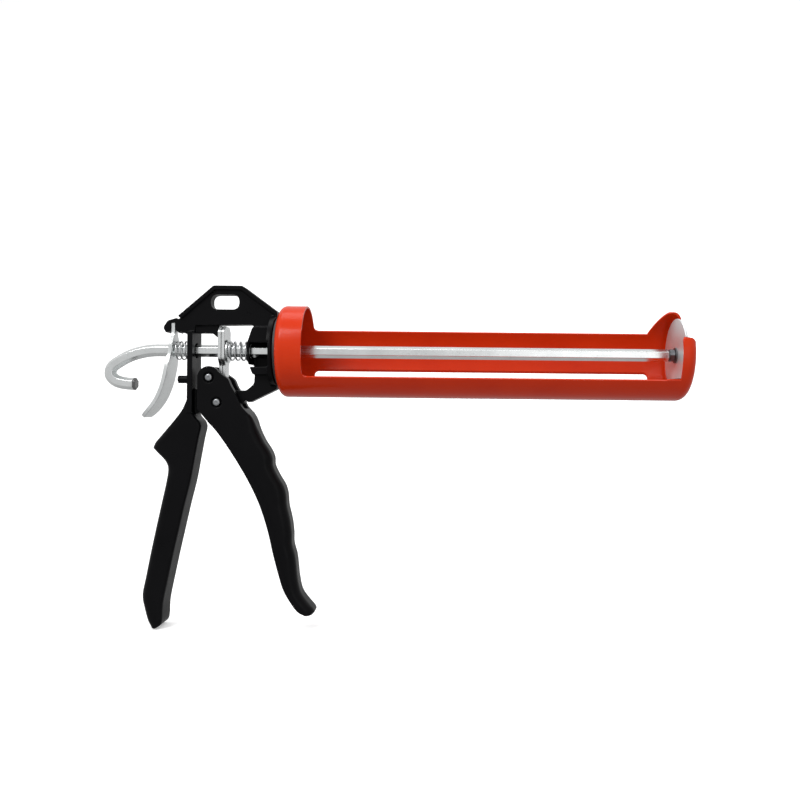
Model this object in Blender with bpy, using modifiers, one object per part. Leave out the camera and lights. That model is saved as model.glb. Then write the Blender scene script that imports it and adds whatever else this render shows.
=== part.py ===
"""Caulking gun with a revolving open cradle, for 310 ml cartridges.

Frame: metres, +Z up.  The origin is the centre of the plunger's front face with
the rod pushed fully home.  +X runs along the rod towards the nozzle, -Y is the
side the open trough is turned towards.

Side outlines below are drawn in millimetres from the cartridge-stop datum,
CAP_DATUM to the +X side of which lies the front plate.  DX moves that datum so
that the plunger face is the origin.
"""
import math

import bmesh
import bpy
from mathutils import Matrix, Vector

MM = 0.001
DX = -2.8

# ---- rod -------------------------------------------------------------------
ROD_AF = 6.35            # quarter-inch hexagonal bar, corner upwards
ROD_AC = ROD_AF / math.cos(math.radians(30))
ROD_FRONT_X = -3.0       # shoulder behind the plunger nut
ROD_BORE_R = 4.4         # clearance bores in the frame
# ---- cradle ----------------------------------------------------------------
CRADLE_R = 26.75         # outside radius, takes a 50 mm cartridge
SHEET = 1.3
CAP_X = 6.2              # front plate, outer face
RING_REAR_X = -231.0     # rear plate, outer face
RING_FRONT_X = -215.5
CRADLE_TILT = 30.5       # degrees about +X: the nozzle notch opens towards -Y and up
RAIL_TURN = 3.8          # the rails are turned this much further than the notch
RAIL_EDGE_H = -0.5       # rails' top edges, measured along the opening direction
EAR_H = 20.1             # height of the ears beside the nozzle notch
WINDOW_HALF = 14.3       # half width of the long window under the cartridge
CAP_FILLET = 5.5
NOTCH_R = 11.0           # nozzle notch
PLATE_HOLE_R = 11.4      # rear plate on the frame's spigot
# ---- frame casting ---------------------------------------------------------
WEB = 4.0                # half thickness of the web
FLANGE = 9.0             # half width of the rear flange
GRIP_HALF = 8.5
PIVOT = (-266.9, -30.2)  # trigger pivot
FRONT_FACE_X = -233.2
SPIGOT_R = 11.0
SPIGOT_END_X = -224.5
# ---- trigger and drive -----------------------------------------------------
CHEEK = 9.5              # half width over the two cheeks
CHEEK_IN = 4.4           # half gap between them
ROLLER = (-271.6, -15.8)
ROLLER_R = 4.2
PIN_R = 2.1
LEVER_AXIS = (-294.45, 15.0)
PLATE_T = 1.8
PLATE_X = -267.0         # rear face of the rear drive plate
# ---- plunger ---------------------------------------------------------------
PLUNGER_R = 21.6
PLUNGER_X = 2.8


# ============================================================ helpers
def clear():
    for o in list(bpy.data.objects):
        bpy.data.objects.remove(o, do_unlink=True)
    for c in list(bpy.data.collections):
        bpy.data.collections.remove(c)


def finish_name(name, kind):
    c = bpy.data.collections.get(kind)
    if c is None:
        c = bpy.data.collections.new(kind)
        bpy.context.scene.collection.children.link(c)
    return c


def link(obj):
    finish_name(obj.name, "caulking_gun").objects.link(obj)
    return obj


def mesh_object(name, bm):
    me = bpy.data.meshes.new(name)
    bm.to_mesh(me)
    bm.free()
    return link(bpy.data.objects.new(name, me))


def baked(obj, name=None):
    """The object as evaluated, in world space, as one plain mesh object."""
    bpy.context.view_layer.update()
    dg = bpy.context.evaluated_depsgraph_get()
    me = bpy.data.meshes.new_from_object(obj.evaluated_get(dg))
    world = obj.matrix_world.copy()
    name = name or obj.name
    bpy.data.objects.remove(obj, do_unlink=True)
    bm = bmesh.new()
    bm.from_mesh(me)
    bm.transform(world)
    bmesh.ops.remove_doubles(bm, verts=bm.verts[:], dist=1e-6)
    bmesh.ops.recalc_face_normals(bm, faces=bm.faces[:])
    bm.to_mesh(me)
    bm.free()
    new = link(bpy.data.objects.new(name, me))
    new.name = name
    return new


def combine(target, tool, how):
    name = target.name
    mod = target.modifiers.new("cut", "BOOLEAN")
    mod.operation = how
    mod.solver = "EXACT"
    mod.object = tool
    out = baked(target, name)
    bpy.data.objects.remove(tool, do_unlink=True)
    return out


def smooth_line(pts, per=4, closed=False):
    """Catmull-Rom curve through the points."""
    n = len(pts)
    out = []
    for i in range(n if closed else n - 1):
        if closed:
            p = [pts[(i + k - 1) % n] for k in range(4)]
        else:
            p = [pts[max(0, min(n - 1, i + k - 1))] for k in range(4)]
        for s in range(per):
            t = s / per
            out.append(tuple(
                0.5 * (2 * p[1][c] + (p[2][c] - p[0][c]) * t
                       + (2 * p[0][c] - 5 * p[1][c] + 4 * p[2][c] - p[3][c]) * t * t
                       + (3 * p[1][c] - p[0][c] - 3 * p[2][c] + p[3][c]) * t ** 3)
                for c in range(2)))
    if not closed:
        out.append(tuple(pts[-1]))
    return out


def arc(cx, cz, r, a0, a1, steps):
    return [(cx + r * math.cos(math.radians(a0 + (a1 - a0) * i / steps)),
             cz + r * math.sin(math.radians(a0 + (a1 - a0) * i / steps)))
            for i in range(steps + 1)]


def rounded(pts, r, steps=3):
    """A closed outline with each corner rounded; r is one radius or one per point."""
    out = []
    n = len(pts)
    for i, p in enumerate(pts):
        ri = r[i] if isinstance(r, (list, tuple)) else r
        a = Vector(pts[i - 1]) - Vector(p)
        b = Vector(pts[(i + 1) % n]) - Vector(p)
        if ri <= 0:
            out.append(tuple(p))
            continue
        ang = a.angle(b)
        if ang > math.pi - 0.05:
            out.append(tuple(p))
            continue
        cut = min(ri / math.tan(ang / 2), 0.48 * a.length, 0.48 * b.length)
        p0 = Vector(p) + a.normalized() * cut
        p1 = Vector(p) + b.normalized() * cut
        for s in range(steps + 1):
            t = s / steps
            q = p0 * (1 - t) ** 2 + Vector(p) * 2 * t * (1 - t) + p1 * t * t
            out.append((q.x, q.y))
    return out


def curve_plate(name, pts, half, matrix, edge=0.0, res=2):
    cu = bpy.data.curves.new(name, "CURVE")
    cu.dimensions = "2D"
    cu.fill_mode = "BOTH"
    cu.extrude = (half - edge) * MM
    cu.bevel_depth = edge * MM
    cu.bevel_resolution = res
    cu.offset = -edge * MM
    sp = cu.splines.new("POLY")
    sp.points.add(len(pts) - 1)
    for q, (x, z) in zip(sp.points, pts):
        q.co = (x * MM, z * MM, 0.0, 1.0)
    sp.use_cyclic_u = True
    obj = link(bpy.data.objects.new(name, cu))
    obj.matrix_world = matrix
    return baked(obj, name)


def side_plate(name, pts, half, y=0.0, edge=0.0, res=2):
    """An outline in the X-Z plane, half thickness along Y."""
    m = Matrix(((1, 0, 0, DX * MM), (0, 0, -1, y * MM), (0, 1, 0, 0), (0, 0, 0, 1)))
    return curve_plate(name, pts, half, m, edge, res)


def front_plate(name, pts, x0, x1, edge=0.0, res=2):
    """An outline in the Y-Z plane, from x0 to x1."""
    m = Matrix(((0, 0, 1, ((x0 + x1) / 2 + DX) * MM), (1, 0, 0, 0), (0, 1, 0, 0), (0, 0, 0, 1)))
    return curve_plate(name, pts, abs(x1 - x0) / 2, m, edge, res)


def turned(name, profile, steps):
    """A closed (radius, X) outline turned about the rod's axis."""
    me = bpy.data.meshes.new(name)
    n = len(profile)
    me.from_pydata([(r * MM, 0, (a + DX) * MM) for r, a in profile],
                   [(i, (i + 1) % n) for i in range(n) if not (profile[i][0] == 0 and profile[(i + 1) % n][0] == 0)], [])
    obj = link(bpy.data.objects.new(name, me))
    sc = obj.modifiers.new("turn", "SCREW")
    sc.axis = "Z"
    sc.steps = steps
    sc.render_steps = steps
    sc.use_merge_vertices = True
    sc.merge_threshold = 0.00001
    obj.rotation_euler = (0, math.pi / 2, 0)
    return baked(obj, name)


def rod_of(name, r, p0, p1, sides=24, turn=0.0):
    """A round (or many-sided) bar between two points in millimetres."""
    a = Vector(((p0[0] + DX) * MM, p0[1] * MM, p0[2] * MM))
    b = Vector(((p1[0] + DX) * MM, p1[1] * MM, p1[2] * MM))
    bm = bmesh.new()
    q = (b - a).to_track_quat("Z", "Y").to_matrix().to_4x4()
    bmesh.ops.create_cone(bm, cap_ends=True, segments=sides, radius1=r * MM, radius2=r * MM,
                          depth=(b - a).length,
                          matrix=Matrix.Translation((a + b) / 2) @ q @ Matrix.Rotation(turn, 4, "Z"))
    return mesh_object(name, bm)


def block(name, lo, hi):
    lo = Vector(((lo[0] + DX) * MM, lo[1] * MM, lo[2] * MM))
    hi = Vector(((hi[0] + DX) * MM, hi[1] * MM, hi[2] * MM))
    bm = bmesh.new()
    bmesh.ops.create_cube(bm, size=1.0, matrix=Matrix.Translation((lo + hi) / 2)
                          @ Matrix.Diagonal(((hi - lo).x, (hi - lo).y, (hi - lo).z, 1)))
    return mesh_object(name, bm)


def ring(name, r0, r1, x0, x1, steps=40):
    return turned(name, [(r1, x1), (r1, x0), (r0, x0), (r0, x1)], steps)


def coil(name, radius, wire, x0, x1, turns, per_turn=14):
    """A compression spring round the rod, as one wire."""
    cu = bpy.data.curves.new(name, "CURVE")
    cu.dimensions = "3D"
    cu.bevel_depth = wire * MM
    cu.bevel_resolution = 2
    cu.use_fill_caps = True
    n = int(turns * per_turn)
    sp = cu.splines.new("POLY")
    sp.points.add(n)
    for i in range(n + 1):
        t = i / n
        s = min(1.0, max(0.0, (t * turns - 0.6) / (turns - 1.2)))
        a = 2 * math.pi * turns * t
        flat = 2.15 * wire
        x = x0 + flat * min(t * turns / 0.6, 1.0) * 0.3 + (x1 - x0 - 0.6 * flat) * s \
            + flat * 0.3 * max(0.0, (t * turns - turns + 0.6) / 0.6)
        sp.points[i].co = ((x + DX) * MM, radius * math.cos(a) * MM, radius * math.sin(a) * MM, 1)
    obj = link(bpy.data.objects.new(name, cu))
    return baked(obj, name)


def set_origin(obj, p):
    v = Vector(((p[0] + DX) * MM, p[1] * MM, p[2] * MM))
    obj.data.transform(Matrix.Translation(-v))
    obj.location = v


def finish_part(obj, mat, angle=32.0):
    obj.data.materials.clear()
    obj.data.materials.append(mat)
    obj.data.shade_smooth()
    obj.data.set_sharp_from_angle(angle=math.radians(angle))


def material(name, colour, rough, metal):
    m = bpy.data.materials.new(name)
    m.use_nodes = True
    b = m.node_tree.nodes["Principled BSDF"]
    b.inputs["Base Color"].default_value = (*colour, 1)
    b.inputs["Roughness"].default_value = rough
    b.inputs["Metallic"].default_value = metal
    m.diffuse_color = (*colour, 1)
    return m


# ============================================================ outlines
def web_outline():
    """Flat upper part of the casting, the nub that holds the lever, and the pivot lug."""
    px, pz = PIVOT
    lug = arc(px, pz, 10.5, 330, 207, 10)
    head = rounded([
        (-270.5, 37.65), (-253.7, 37.65), (FRONT_FACE_X, 22.8), (FRONT_FACE_X, -22.3), (-250.2, -30.8)],
        [2.5, 2.5, 0, 0, 2.0], 3)
    left = [(-281.6, -37.8), (-283.6, -37.8), (-283.6, 8.6)]
    nub = rounded([
        (-290.2, 9.2), (-292.9, 12.4), (-292.9, 16.4), (-296.0, 16.4), (-296.0, 11.0),
        (-298.2, 10.0), (-300.0, 13.2), (-297.4, 17.4), (-291.6, 19.1)],
        [2.0, 1.5, 0.6, 0.6, 0.6, 1.2, 1.8, 2.0, 1.0], 2)
    return head + lug + left + nub


def mechanism_window():
    return rounded([
        (-281.2, 14.6), (-246.4, 15.4), (-250.2, 4.6), (-250.2, -5.2), (-246.2, -12.6),
        (-246.4, -19.2), (-251.0, -23.2), (-281.2, -22.6)],
        [1.0, 2.0, 2.0, 2.0, 3.0, 4.0, 3.0, 1.0], 3)


def hang_slot():
    return rounded([(-272.2, 32.8), (-255.6, 32.8), (-255.6, 24.2), (-272.2, 24.2)], 4.2, 4)


def rim_outline():
    """Raised rim along the top edges."""
    outer = [(-291.1, 20.0), (-270.4, 38.0), (-253.6, 38.0), (FRONT_FACE_X, 23.2)]
    inner = [(FRONT_FACE_X, 20.2), (-254.5, 35.6), (-269.5, 35.6), (-289.1, 18.4)]
    return rounded(outer + inner, [0.5, 2.5, 2.5, 0, 0, 2.0, 2.0, 0.5], 3)


def grip_outline():
    back = smooth_line([(-284.0, -27.2), (-285.6, -30.2), (-288.2, -35.0), (-292.0, -40.0), (-297.6, -46.8),
                        (-303.6, -54.0)], 3)
    spur = smooth_line([(-304.9, -57.2), (-301.6, -60.6), (-297.6, -64.8), (-296.0, -69.5),
                        (-297.1, -77.5), (-299.8, -90.3), (-302.8, -104.4), (-305.7, -118.6),
                        (-308.4, -132.8), (-310.2, -143.0), (-308.8, -151.0)], 3)
    tip = smooth_line([(-306.6, -158.4), (-304.0, -162.2), (-300.4, -161.4), (-298.0, -158.4)], 3)
    front = smooth_line([(-297.3, -147.4), (-294.5, -132.8), (-291.6, -118.6), (-288.5, -104.4),
                         (-285.4, -90.3), (-282.0, -76.1), (-279.5, -62.0), (-277.6, -51.3)], 3)
    crotch = smooth_line([(-276.2, -44.6), (-277.2, -41.6), (-279.9, -38.6), (-281.1, -35.0), (-281.2, -27.2)], 3)
    return back + spur + tip + front + crotch


def trigger_outline():
    head = [(-278.1, -35.0), (-278.1, -14.5)] + arc(-271.6, -15.8, 6.5, 168, 30, 7) \
        + [(-263.2, -14.6), (-260.4, -16.6), (-258.8, -20.2), (-256.0, -25.0), (-254.2, -28.8)]
    front = smooth_line([(-252.2, -32.8), (-246.9, -38.4), (-243.8, -45.5), (-240.3, -52.6), (-237.0, -57.6),
                         (-235.0, -62.2), (-234.6, -67.0), (-232.0, -72.6), (-228.4, -78.6), (-226.8, -84.0),
                         (-226.2, -90.5), (-224.2, -99.0), (-223.2, -106.5), (-223.0, -112.8), (-221.2, -119.4),
                         (-220.3, -126.0), (-219.5, -133.0), (-217.7, -140.6), (-213.8, -146.2), (-210.4, -150.0)], 2)
    toe = smooth_line([(-209.6, -152.4), (-212.0, -153.8), (-215.6, -153.2), (-219.4, -151.4)], 2)
    back = smooth_line([(-223.2, -146.0), (-227.0, -139.6), (-229.5, -132.6), (-233.4, -118.6), (-236.8, -104.4),
                        (-241.4, -90.3), (-247.4, -77.5), (-254.4, -65.5), (-261.0, -55.4), (-266.8, -47.4),
                        (-272.4, -41.2)], 3)
    return head + front + toe + back


def trigger_slot():
    """Space between the cheeks: round the lug, and open to the top and both sides."""
    px, pz = PIVOT
    low = arc(px, pz, 12.2, 235, 345, 10)
    def out(a, r):
        return (px + r * math.cos(math.radians(a)), pz + r * math.sin(math.radians(a)))
    return low + [out(350, 45), out(20, 60), out(90, 45), out(160, 60), out(200, 45), out(235, 45)]


def lever_side():
    """Edge view of the bent release lever."""
    mid = smooth_line([(-294.45, 15.9), (-294.45, 9.0), (-294.7, 2.5), (-295.7, -5.0), (-297.2, -13.5),
                       (-299.0, -21.0), (-302.2, -28.6), (-306.4, -34.6), (-310.6, -39.0)], 3)
    half = 1.1
    one, two = [], []
    for i, p in enumerate(mid):
        a = Vector(mid[max(0, i - 1)])
        b = Vector(mid[min(len(mid) - 1, i + 1)])
        d = (b - a).normalized()
        nrm = Vector((-d.y, d.x)) * half
        one.append((p[0] + nrm.x, p[1] + nrm.y))
        two.append((p[0] - nrm.x, p[1] - nrm.y))
    return one + two[::-1]


def lever_face():
    half = [(3.0, 17.5), (3.0, 10.0), (6.6, 5.0), (7.0, -3.0), (9.0, -9.0), (9.0, -36.0), (5.0, -41.5)]
    return rounded([(y, z) for y, z in half] + [(-y, z) for y, z in half[::-1]],
                   [0.8, 2, 2, 2, 3, 4, 2, 2, 4, 3, 2, 2, 2, 0.8], 3)


def hook_line():
    straight = [(ROD_FRONT_X, 0.0), (-296.5, 0.0)]
    bend = smooth_line([(-299.5, 0.0), (-306.5, -0.1), (-313.2, -1.1), (-320.0, -3.2), (-326.0, -6.4),
                        (-331.0, -10.2), (-331.8, -14.8), (-328.4, -18.2), (-323.0, -19.6), (-316.4, -20.0)], 3)
    return straight + bend


# ============================================================ parts
def make_frame():
    """The die-cast frame, with the fixed grip."""
    o = side_plate("frame_casting", web_outline(), WEB)
    o = combine(o, side_plate("rim", rim_outline(), 5.4), "UNION")
    o = combine(o, block("rear_flange", (-284.3, -FLANGE, -36.5), (-281.2, FLANGE, 11.0)), "UNION")
    o = combine(o, side_plate("window", mechanism_window(), 20.0), "DIFFERENCE")
    o = combine(o, side_plate("slot", hang_slot(), 20.0), "DIFFERENCE")
    tooth = rounded([(-282.5, 16.4), (-267.6, 16.4), (-267.6, 13.0), (-267.5, 7.0), (-271.4, 10.2), (-282.5, 10.2)],
                    [0, 0, 0, 0.6, 1.0, 0], 3)
    o = combine(o, side_plate("tooth", tooth, 2.6), "UNION")
    o = combine(o, side_plate("grip", grip_outline(), GRIP_HALF, edge=1.2, res=1), "UNION")
    o = combine(o, side_plate("boss", rounded([(-246.9, 14.0), (-234.0, 14.0), (-234.0, -14.0), (-246.6, -14.0),
                                               (-250.1, -5.0), (-250.1, 4.4)], [2, 0, 0, 2, 2, 2], 3), 7.6), "UNION")
    o = combine(o, turned("front_pad", [(0, FRONT_FACE_X), (20.4, FRONT_FACE_X), (20.9, FRONT_FACE_X - 0.7),
                                        (20.9, -236.4), (0, -236.4)], 40), "UNION")
    o = combine(o, turned("spigot", [(0, SPIGOT_END_X), (10.2, SPIGOT_END_X), (SPIGOT_R, SPIGOT_END_X - 0.8),
                                     (SPIGOT_R, -226.1), (10.0, -226.1), (10.0, -227.3), (SPIGOT_R, -227.3),
                                     (SPIGOT_R, -234.5), (0, -234.5)], 40), "UNION")
    o = combine(o, rod_of("peg", 2.3, (-291.9, 0, -17.0), (-283.0, 0, -17.0), 16), "UNION")
    o = combine(o, block("pocket", (-248.7, -24.0, -9.4), (-235.3, 4.6, 4.8)), "DIFFERENCE")
    o = combine(o, rod_of("bore_front", ROD_BORE_R, (-251.5, 0, 0), (-223.0, 0, 0), 24), "DIFFERENCE")
    o = combine(o, rod_of("bore_rear", ROD_BORE_R, (-285.6, 0, 0), (-280.0, 0, 0), 24), "DIFFERENCE")
    o = combine(o, rod_of("pivot_bore", PIN_R + 0.3, (PIVOT[0], -12, PIVOT[1]), (PIVOT[0], 12, PIVOT[1]), 24),
                "DIFFERENCE")
    return o


def make_trigger():
    o = side_plate("trigger_handle", trigger_outline(), CHEEK, edge=1.5, res=1)
    o = combine(o, side_plate("clevis", trigger_slot(), CHEEK_IN), "DIFFERENCE")
    for x, z in (PIVOT, ROLLER):
        o = combine(o, rod_of("hole", PIN_R + 0.3, (x, -12, z), (x, 12, z), 24), "DIFFERENCE")
    return o


def make_cradle():
    """Ring, two rails and notched front plate, pressed from one sheet."""
    ro, ri = CRADLE_R, CRADLE_R - SHEET
    rear, front = 4.0, CAP_FILLET
    prof = [(6.0, CAP_X)]
    prof += [(ro - front + front * math.sin(t), CAP_X - front + front * math.cos(t))
             for t in [math.pi / 2 * i / 4 for i in range(5)]]
    prof += [(ro - rear + rear * math.cos(t), RING_REAR_X + rear - rear * math.sin(t))
             for t in [math.pi / 2 * i / 4 for i in range(5)]]
    prof += [(PLATE_HOLE_R, RING_REAR_X), (PLATE_HOLE_R, RING_REAR_X + SHEET)]
    rr = rear - SHEET
    prof += [(ri - rr + rr * math.sin(t), RING_REAR_X + SHEET + rr - rr * math.cos(t))
             for t in [math.pi / 2 * i / 3 for i in range(4)]]
    rf = front - SHEET
    prof += [(ri - rf + rf * math.cos(t), CAP_X - SHEET - rf + rf * math.sin(t))
             for t in [math.pi / 2 * i / 3 for i in range(4)]]
    prof += [(6.0, CAP_X - SHEET)]
    o = turned("cradle", prof, 64)
    # the open side, in two cuts: over the rails, and over the ears at the front
    over_rails = rounded([(RING_FRONT_X, 45), (RING_FRONT_X, RAIL_EDGE_H), (-9.8, RAIL_EDGE_H), (-9.8, 45)],
                         [0, 3.0, 0, 0], 4)
    rails = side_plate("opening", over_rails, 45)
    rails.data.transform(Matrix.Rotation(math.radians(RAIL_TURN), 4, "X"))
    o = combine(o, rails, "DIFFERENCE")
    over_ears = rounded([(-11.5, 45), (-11.5, 1.6), (-9.9, 1.6), (-1.6, EAR_H), (9.0, EAR_H), (9.0, 45)],
                        [0, 0, 0.8, 2.0, 0, 0], 4)
    o = combine(o, side_plate("ears", over_ears, 45), "DIFFERENCE")
    # the near ear is a narrow upright strip
    o = combine(o, block("near_ear", (-10.6, -45.0, -1.85), (-2.2, -5.0, 45.0)), "DIFFERENCE")
    # the long window under the cartridge, drawn from below
    w = rounded([(-215.0, -WINDOW_HALF), (-9.5, -WINDOW_HALF), (-9.5, WINDOW_HALF), (-215.0, WINDOW_HALF)], 2.5, 4)
    m = Matrix(((1, 0, 0, DX * MM), (0, 1, 0, 0), (0, 0, 1, -0.030), (0, 0, 0, 1)))
    under = curve_plate("window", w, 20.0, m)
    under.data.transform(Matrix.Rotation(math.radians(RAIL_TURN), 4, "X"))
    o = combine(o, under, "DIFFERENCE")
    notch = [(18.0, 45.0), (17.0, EAR_H), (NOTCH_R, 3.0)] + arc(0, 0, NOTCH_R, 0, -180, 16) \
        + [(-NOTCH_R, 3.0), (-17.0, EAR_H), (-18.0, 45.0)]
    o = combine(o, front_plate("notch", notch, -0.2, 9.0), "DIFFERENCE")
    o.data.transform(Matrix.Rotation(math.radians(CRADLE_TILT), 4, "X"))
    return o


def make_rod():
    cu = bpy.data.curves.new("push_rod", "CURVE")
    cu.dimensions = "3D"
    cu.twist_mode = "MINIMUM"
    cu.bevel_depth = ROD_AC / 2 * MM
    cu.bevel_resolution = 1
    cu.use_fill_caps = True
    pts = hook_line()
    sp = cu.splines.new("POLY")
    sp.points.add(len(pts) - 1)
    for q, (x, z) in zip(sp.points, pts):
        q.co = ((x + DX) * MM, 0, z * MM, 1)
    o = baked(link(bpy.data.objects.new("push_rod", cu)), "push_rod")
    return combine(o, rod_of("neck", 2.0, (ROD_FRONT_X - 2, 0, 0), (1.9, 0, 0), 16), "UNION")


def make_plunger():
    x = PLUNGER_X
    prof = [(0, x), (19.6, x), (20.8, x - 0.25), (PLUNGER_R, x - 0.9), (PLUNGER_R, x - 1.5),
            (PLUNGER_R - 0.4, x - 1.8), (2.2, x - 1.8), (2.2, x - 0.8), (0, x - 0.8)]
    return turned("plunger_disc", prof, 48)


def make_drive_plate(name, x0):
    half = [(4.0, 14.2), (7.2, 11.4), (7.2, -4.5), (3.8, -8.5), (3.8, -18.0)]
    face = rounded(half + [(-y, z) for y, z in half[::-1]], [1.2, 1.5, 2, 2, 1.0, 1.0, 2, 2, 1.5, 1.2], 2)
    o = front_plate(name, face, x0, x0 + PLATE_T)
    return combine(o, rod_of("hole", 4.15, (x0 - 2, 0, 0), (x0 + PLATE_T + 2, 0, 0), 24), "DIFFERENCE")


def make_lever():
    o = side_plate("release_lever", lever_side(), 12.0)
    o = combine(o, front_plate("face", lever_face(), -320.0, -280.0), "INTERSECT")
    return combine(o, rod_of("hole", 4.4, (-303.0, 0, 0), (-288.0, 0, 0), 24), "DIFFERENCE")


def make_circlip():
    o = ring("circlip", 10.3, 13.4, -227.2, -226.2, 40)
    wedge = front_plate("gap", [(0, 0), (9.0, -20.0), (-9.0, -20.0)], -229.0, -224.0)
    return combine(o, wedge, "DIFFERENCE")


def main():
    clear()
    black = material("black_enamel", (0.018, 0.018, 0.020), 0.38, 0.0)
    red = material("red_enamel", (0.62, 0.045, 0.018), 0.28, 0.0)
    zinc = material("zinc_plated_steel", (0.66, 0.68, 0.68), 0.30, 1.0)
    dark = material("dark_steel", (0.22, 0.22, 0.23), 0.38, 1.0)
    nylon = material("nylon", (0.05, 0.05, 0.05), 0.5, 0.0)

    frame = make_frame()
    finish_part(frame, black)

    trig = make_trigger()
    set_origin(trig, (PIVOT[0], 0, PIVOT[1]))
    finish_part(trig, black)

    pivot = rod_of("trigger_pivot_pin", PIN_R, (PIVOT[0], -9.9, PIVOT[1]), (PIVOT[0], 9.9, PIVOT[1]), 24)
    finish_part(pivot, zinc)
    rpin = rod_of("roller_pin", PIN_R, (ROLLER[0], -9.9, ROLLER[1]), (ROLLER[0], 9.9, ROLLER[1]), 24)
    set_origin(rpin, (PIVOT[0], 0, PIVOT[1]))
    finish_part(rpin, zinc)
    roller = rod_of("drive_roller", ROLLER_R, (ROLLER[0], -4.0, ROLLER[1]), (ROLLER[0], 4.0, ROLLER[1]), 28)
    roller = combine(roller, rod_of("hole", PIN_R + 0.3, (ROLLER[0], -6, ROLLER[1]), (ROLLER[0], 6, ROLLER[1]), 24),
                     "DIFFERENCE")
    set_origin(roller, (PIVOT[0], 0, PIVOT[1]))
    finish_part(roller, dark)

    finish_part(make_drive_plate("drive_plate_rear", PLATE_X), zinc)
    finish_part(make_drive_plate("drive_plate_front", PLATE_X + PLATE_T + 0.3), zinc)
    wx = PLATE_X + 2 * PLATE_T + 0.6
    finish_part(ring("spring_washer", 4.2, 6.8, wx, wx + 0.8, 32), zinc)
    finish_part(coil("main_spring", 5.4, 0.55, wx + 0.8 + 0.3 + 0.55, -250.5 - 0.55, 4.0), zinc)

    lever = make_lever()
    set_origin(lever, (LEVER_AXIS[0], 0, LEVER_AXIS[1]))
    finish_part(lever, zinc)
    finish_part(coil("release_spring", 5.3, 0.45, -292.3, -285.2, 3.5), dark)

    finish_part(make_rod(), zinc, 20)
    finish_part(make_plunger(), zinc)
    finish_part(ring("plunger_washer", 2.2, 4.6, 0.3, 0.9, 28), dark)
    nut = rod_of("plunger_nut", 4.04, (-2.8, 0, 0), (0.2, 0, 0), 6)
    nut = combine(nut, rod_of("hole", 2.2, (-9, 0, 0), (4, 0, 0), 16), "DIFFERENCE")
    finish_part(nut, dark)

    finish_part(make_cradle(), red)
    finish_part(ring("thrust_washer", 11.4, 20.0, -232.9, -231.3, 40), nylon)
    finish_part(ring("wave_washer", 11.4, 15.0, -229.4, -228.7, 40), zinc)
    finish_part(ring("retaining_washer", 11.4, 16.0, -228.4, -227.5, 40), zinc)
    finish_part(make_circlip(), dark)


main()
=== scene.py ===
"""Looks for the caulking gun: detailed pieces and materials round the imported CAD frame.

Drawing units are millimetres.  As in the CAD, the side outlines are drawn from the
cartridge-stop datum, and DX (found below from the frame itself) moves that datum so that
the plunger's face is the origin.
"""
import math

import bmesh
import bpy
from mathutils import Matrix, Vector


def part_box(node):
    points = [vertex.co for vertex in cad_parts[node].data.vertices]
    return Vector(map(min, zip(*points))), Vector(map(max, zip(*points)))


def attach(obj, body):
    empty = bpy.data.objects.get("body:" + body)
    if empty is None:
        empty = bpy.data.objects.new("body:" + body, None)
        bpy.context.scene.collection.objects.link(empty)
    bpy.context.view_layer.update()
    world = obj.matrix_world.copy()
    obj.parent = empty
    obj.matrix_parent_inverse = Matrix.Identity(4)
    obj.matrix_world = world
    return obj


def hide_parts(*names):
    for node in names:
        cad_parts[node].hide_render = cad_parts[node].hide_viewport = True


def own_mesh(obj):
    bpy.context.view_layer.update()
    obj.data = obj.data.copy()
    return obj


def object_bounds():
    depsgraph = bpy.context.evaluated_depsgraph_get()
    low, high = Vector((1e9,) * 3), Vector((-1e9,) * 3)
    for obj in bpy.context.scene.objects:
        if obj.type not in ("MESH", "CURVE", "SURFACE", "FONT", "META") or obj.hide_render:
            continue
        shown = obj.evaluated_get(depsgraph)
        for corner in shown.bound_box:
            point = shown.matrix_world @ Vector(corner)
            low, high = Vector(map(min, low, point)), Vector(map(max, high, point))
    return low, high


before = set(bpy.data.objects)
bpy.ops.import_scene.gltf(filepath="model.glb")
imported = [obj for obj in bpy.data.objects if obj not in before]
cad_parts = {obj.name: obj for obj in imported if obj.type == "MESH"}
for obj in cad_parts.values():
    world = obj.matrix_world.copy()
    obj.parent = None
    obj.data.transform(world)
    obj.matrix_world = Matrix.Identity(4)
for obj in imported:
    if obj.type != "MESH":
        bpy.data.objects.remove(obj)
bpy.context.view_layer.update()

MM = 0.001
CAP_X = 6.2
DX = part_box("cradle")[1].x / MM - CAP_X

CRADLE_R = 26.75
SHEET = 1.3
RING_REAR_X = -231.0
RING_FRONT_X = -215.5
CRADLE_TILT = 30.5
RAIL_TURN = 3.8
RAIL_EDGE_H = -0.5
EAR_H = 20.1
WINDOW_HALF = 14.3
CAP_FILLET = 5.5
NOTCH_R = 11.0
PLATE_HOLE_R = 11.4
WEB = 4.0
FLANGE = 9.0
GRIP_HALF = 8.5
PIVOT = (-266.9, -30.2)
FRONT_FACE_X = -233.2
SPIGOT_R = 11.0
SPIGOT_END_X = -224.5
ROD_AF = 6.35
ROD_FRONT_X = -3.0
ROD_BORE_R = 4.4
CHEEK = 9.5
CHEEK_IN = 4.4
ROLLER = (-271.6, -15.8)
ROLLER_R = 4.2
PIN_R = 2.1
LEVER_AXIS = (-294.45, 15.0)
PLATE_T = 1.8
PLATE_X = -267.0
PLUNGER_R = 21.6
PLUNGER_X = 2.8


# ============================================================ mesh helpers
def link(obj):
    bpy.context.scene.collection.objects.link(obj)
    return obj


def mesh_object(name, bm):
    me = bpy.data.meshes.new(name)
    bmesh.ops.recalc_face_normals(bm, faces=bm.faces[:])
    bm.to_mesh(me)
    bm.free()
    return link(bpy.data.objects.new(name, me))


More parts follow.
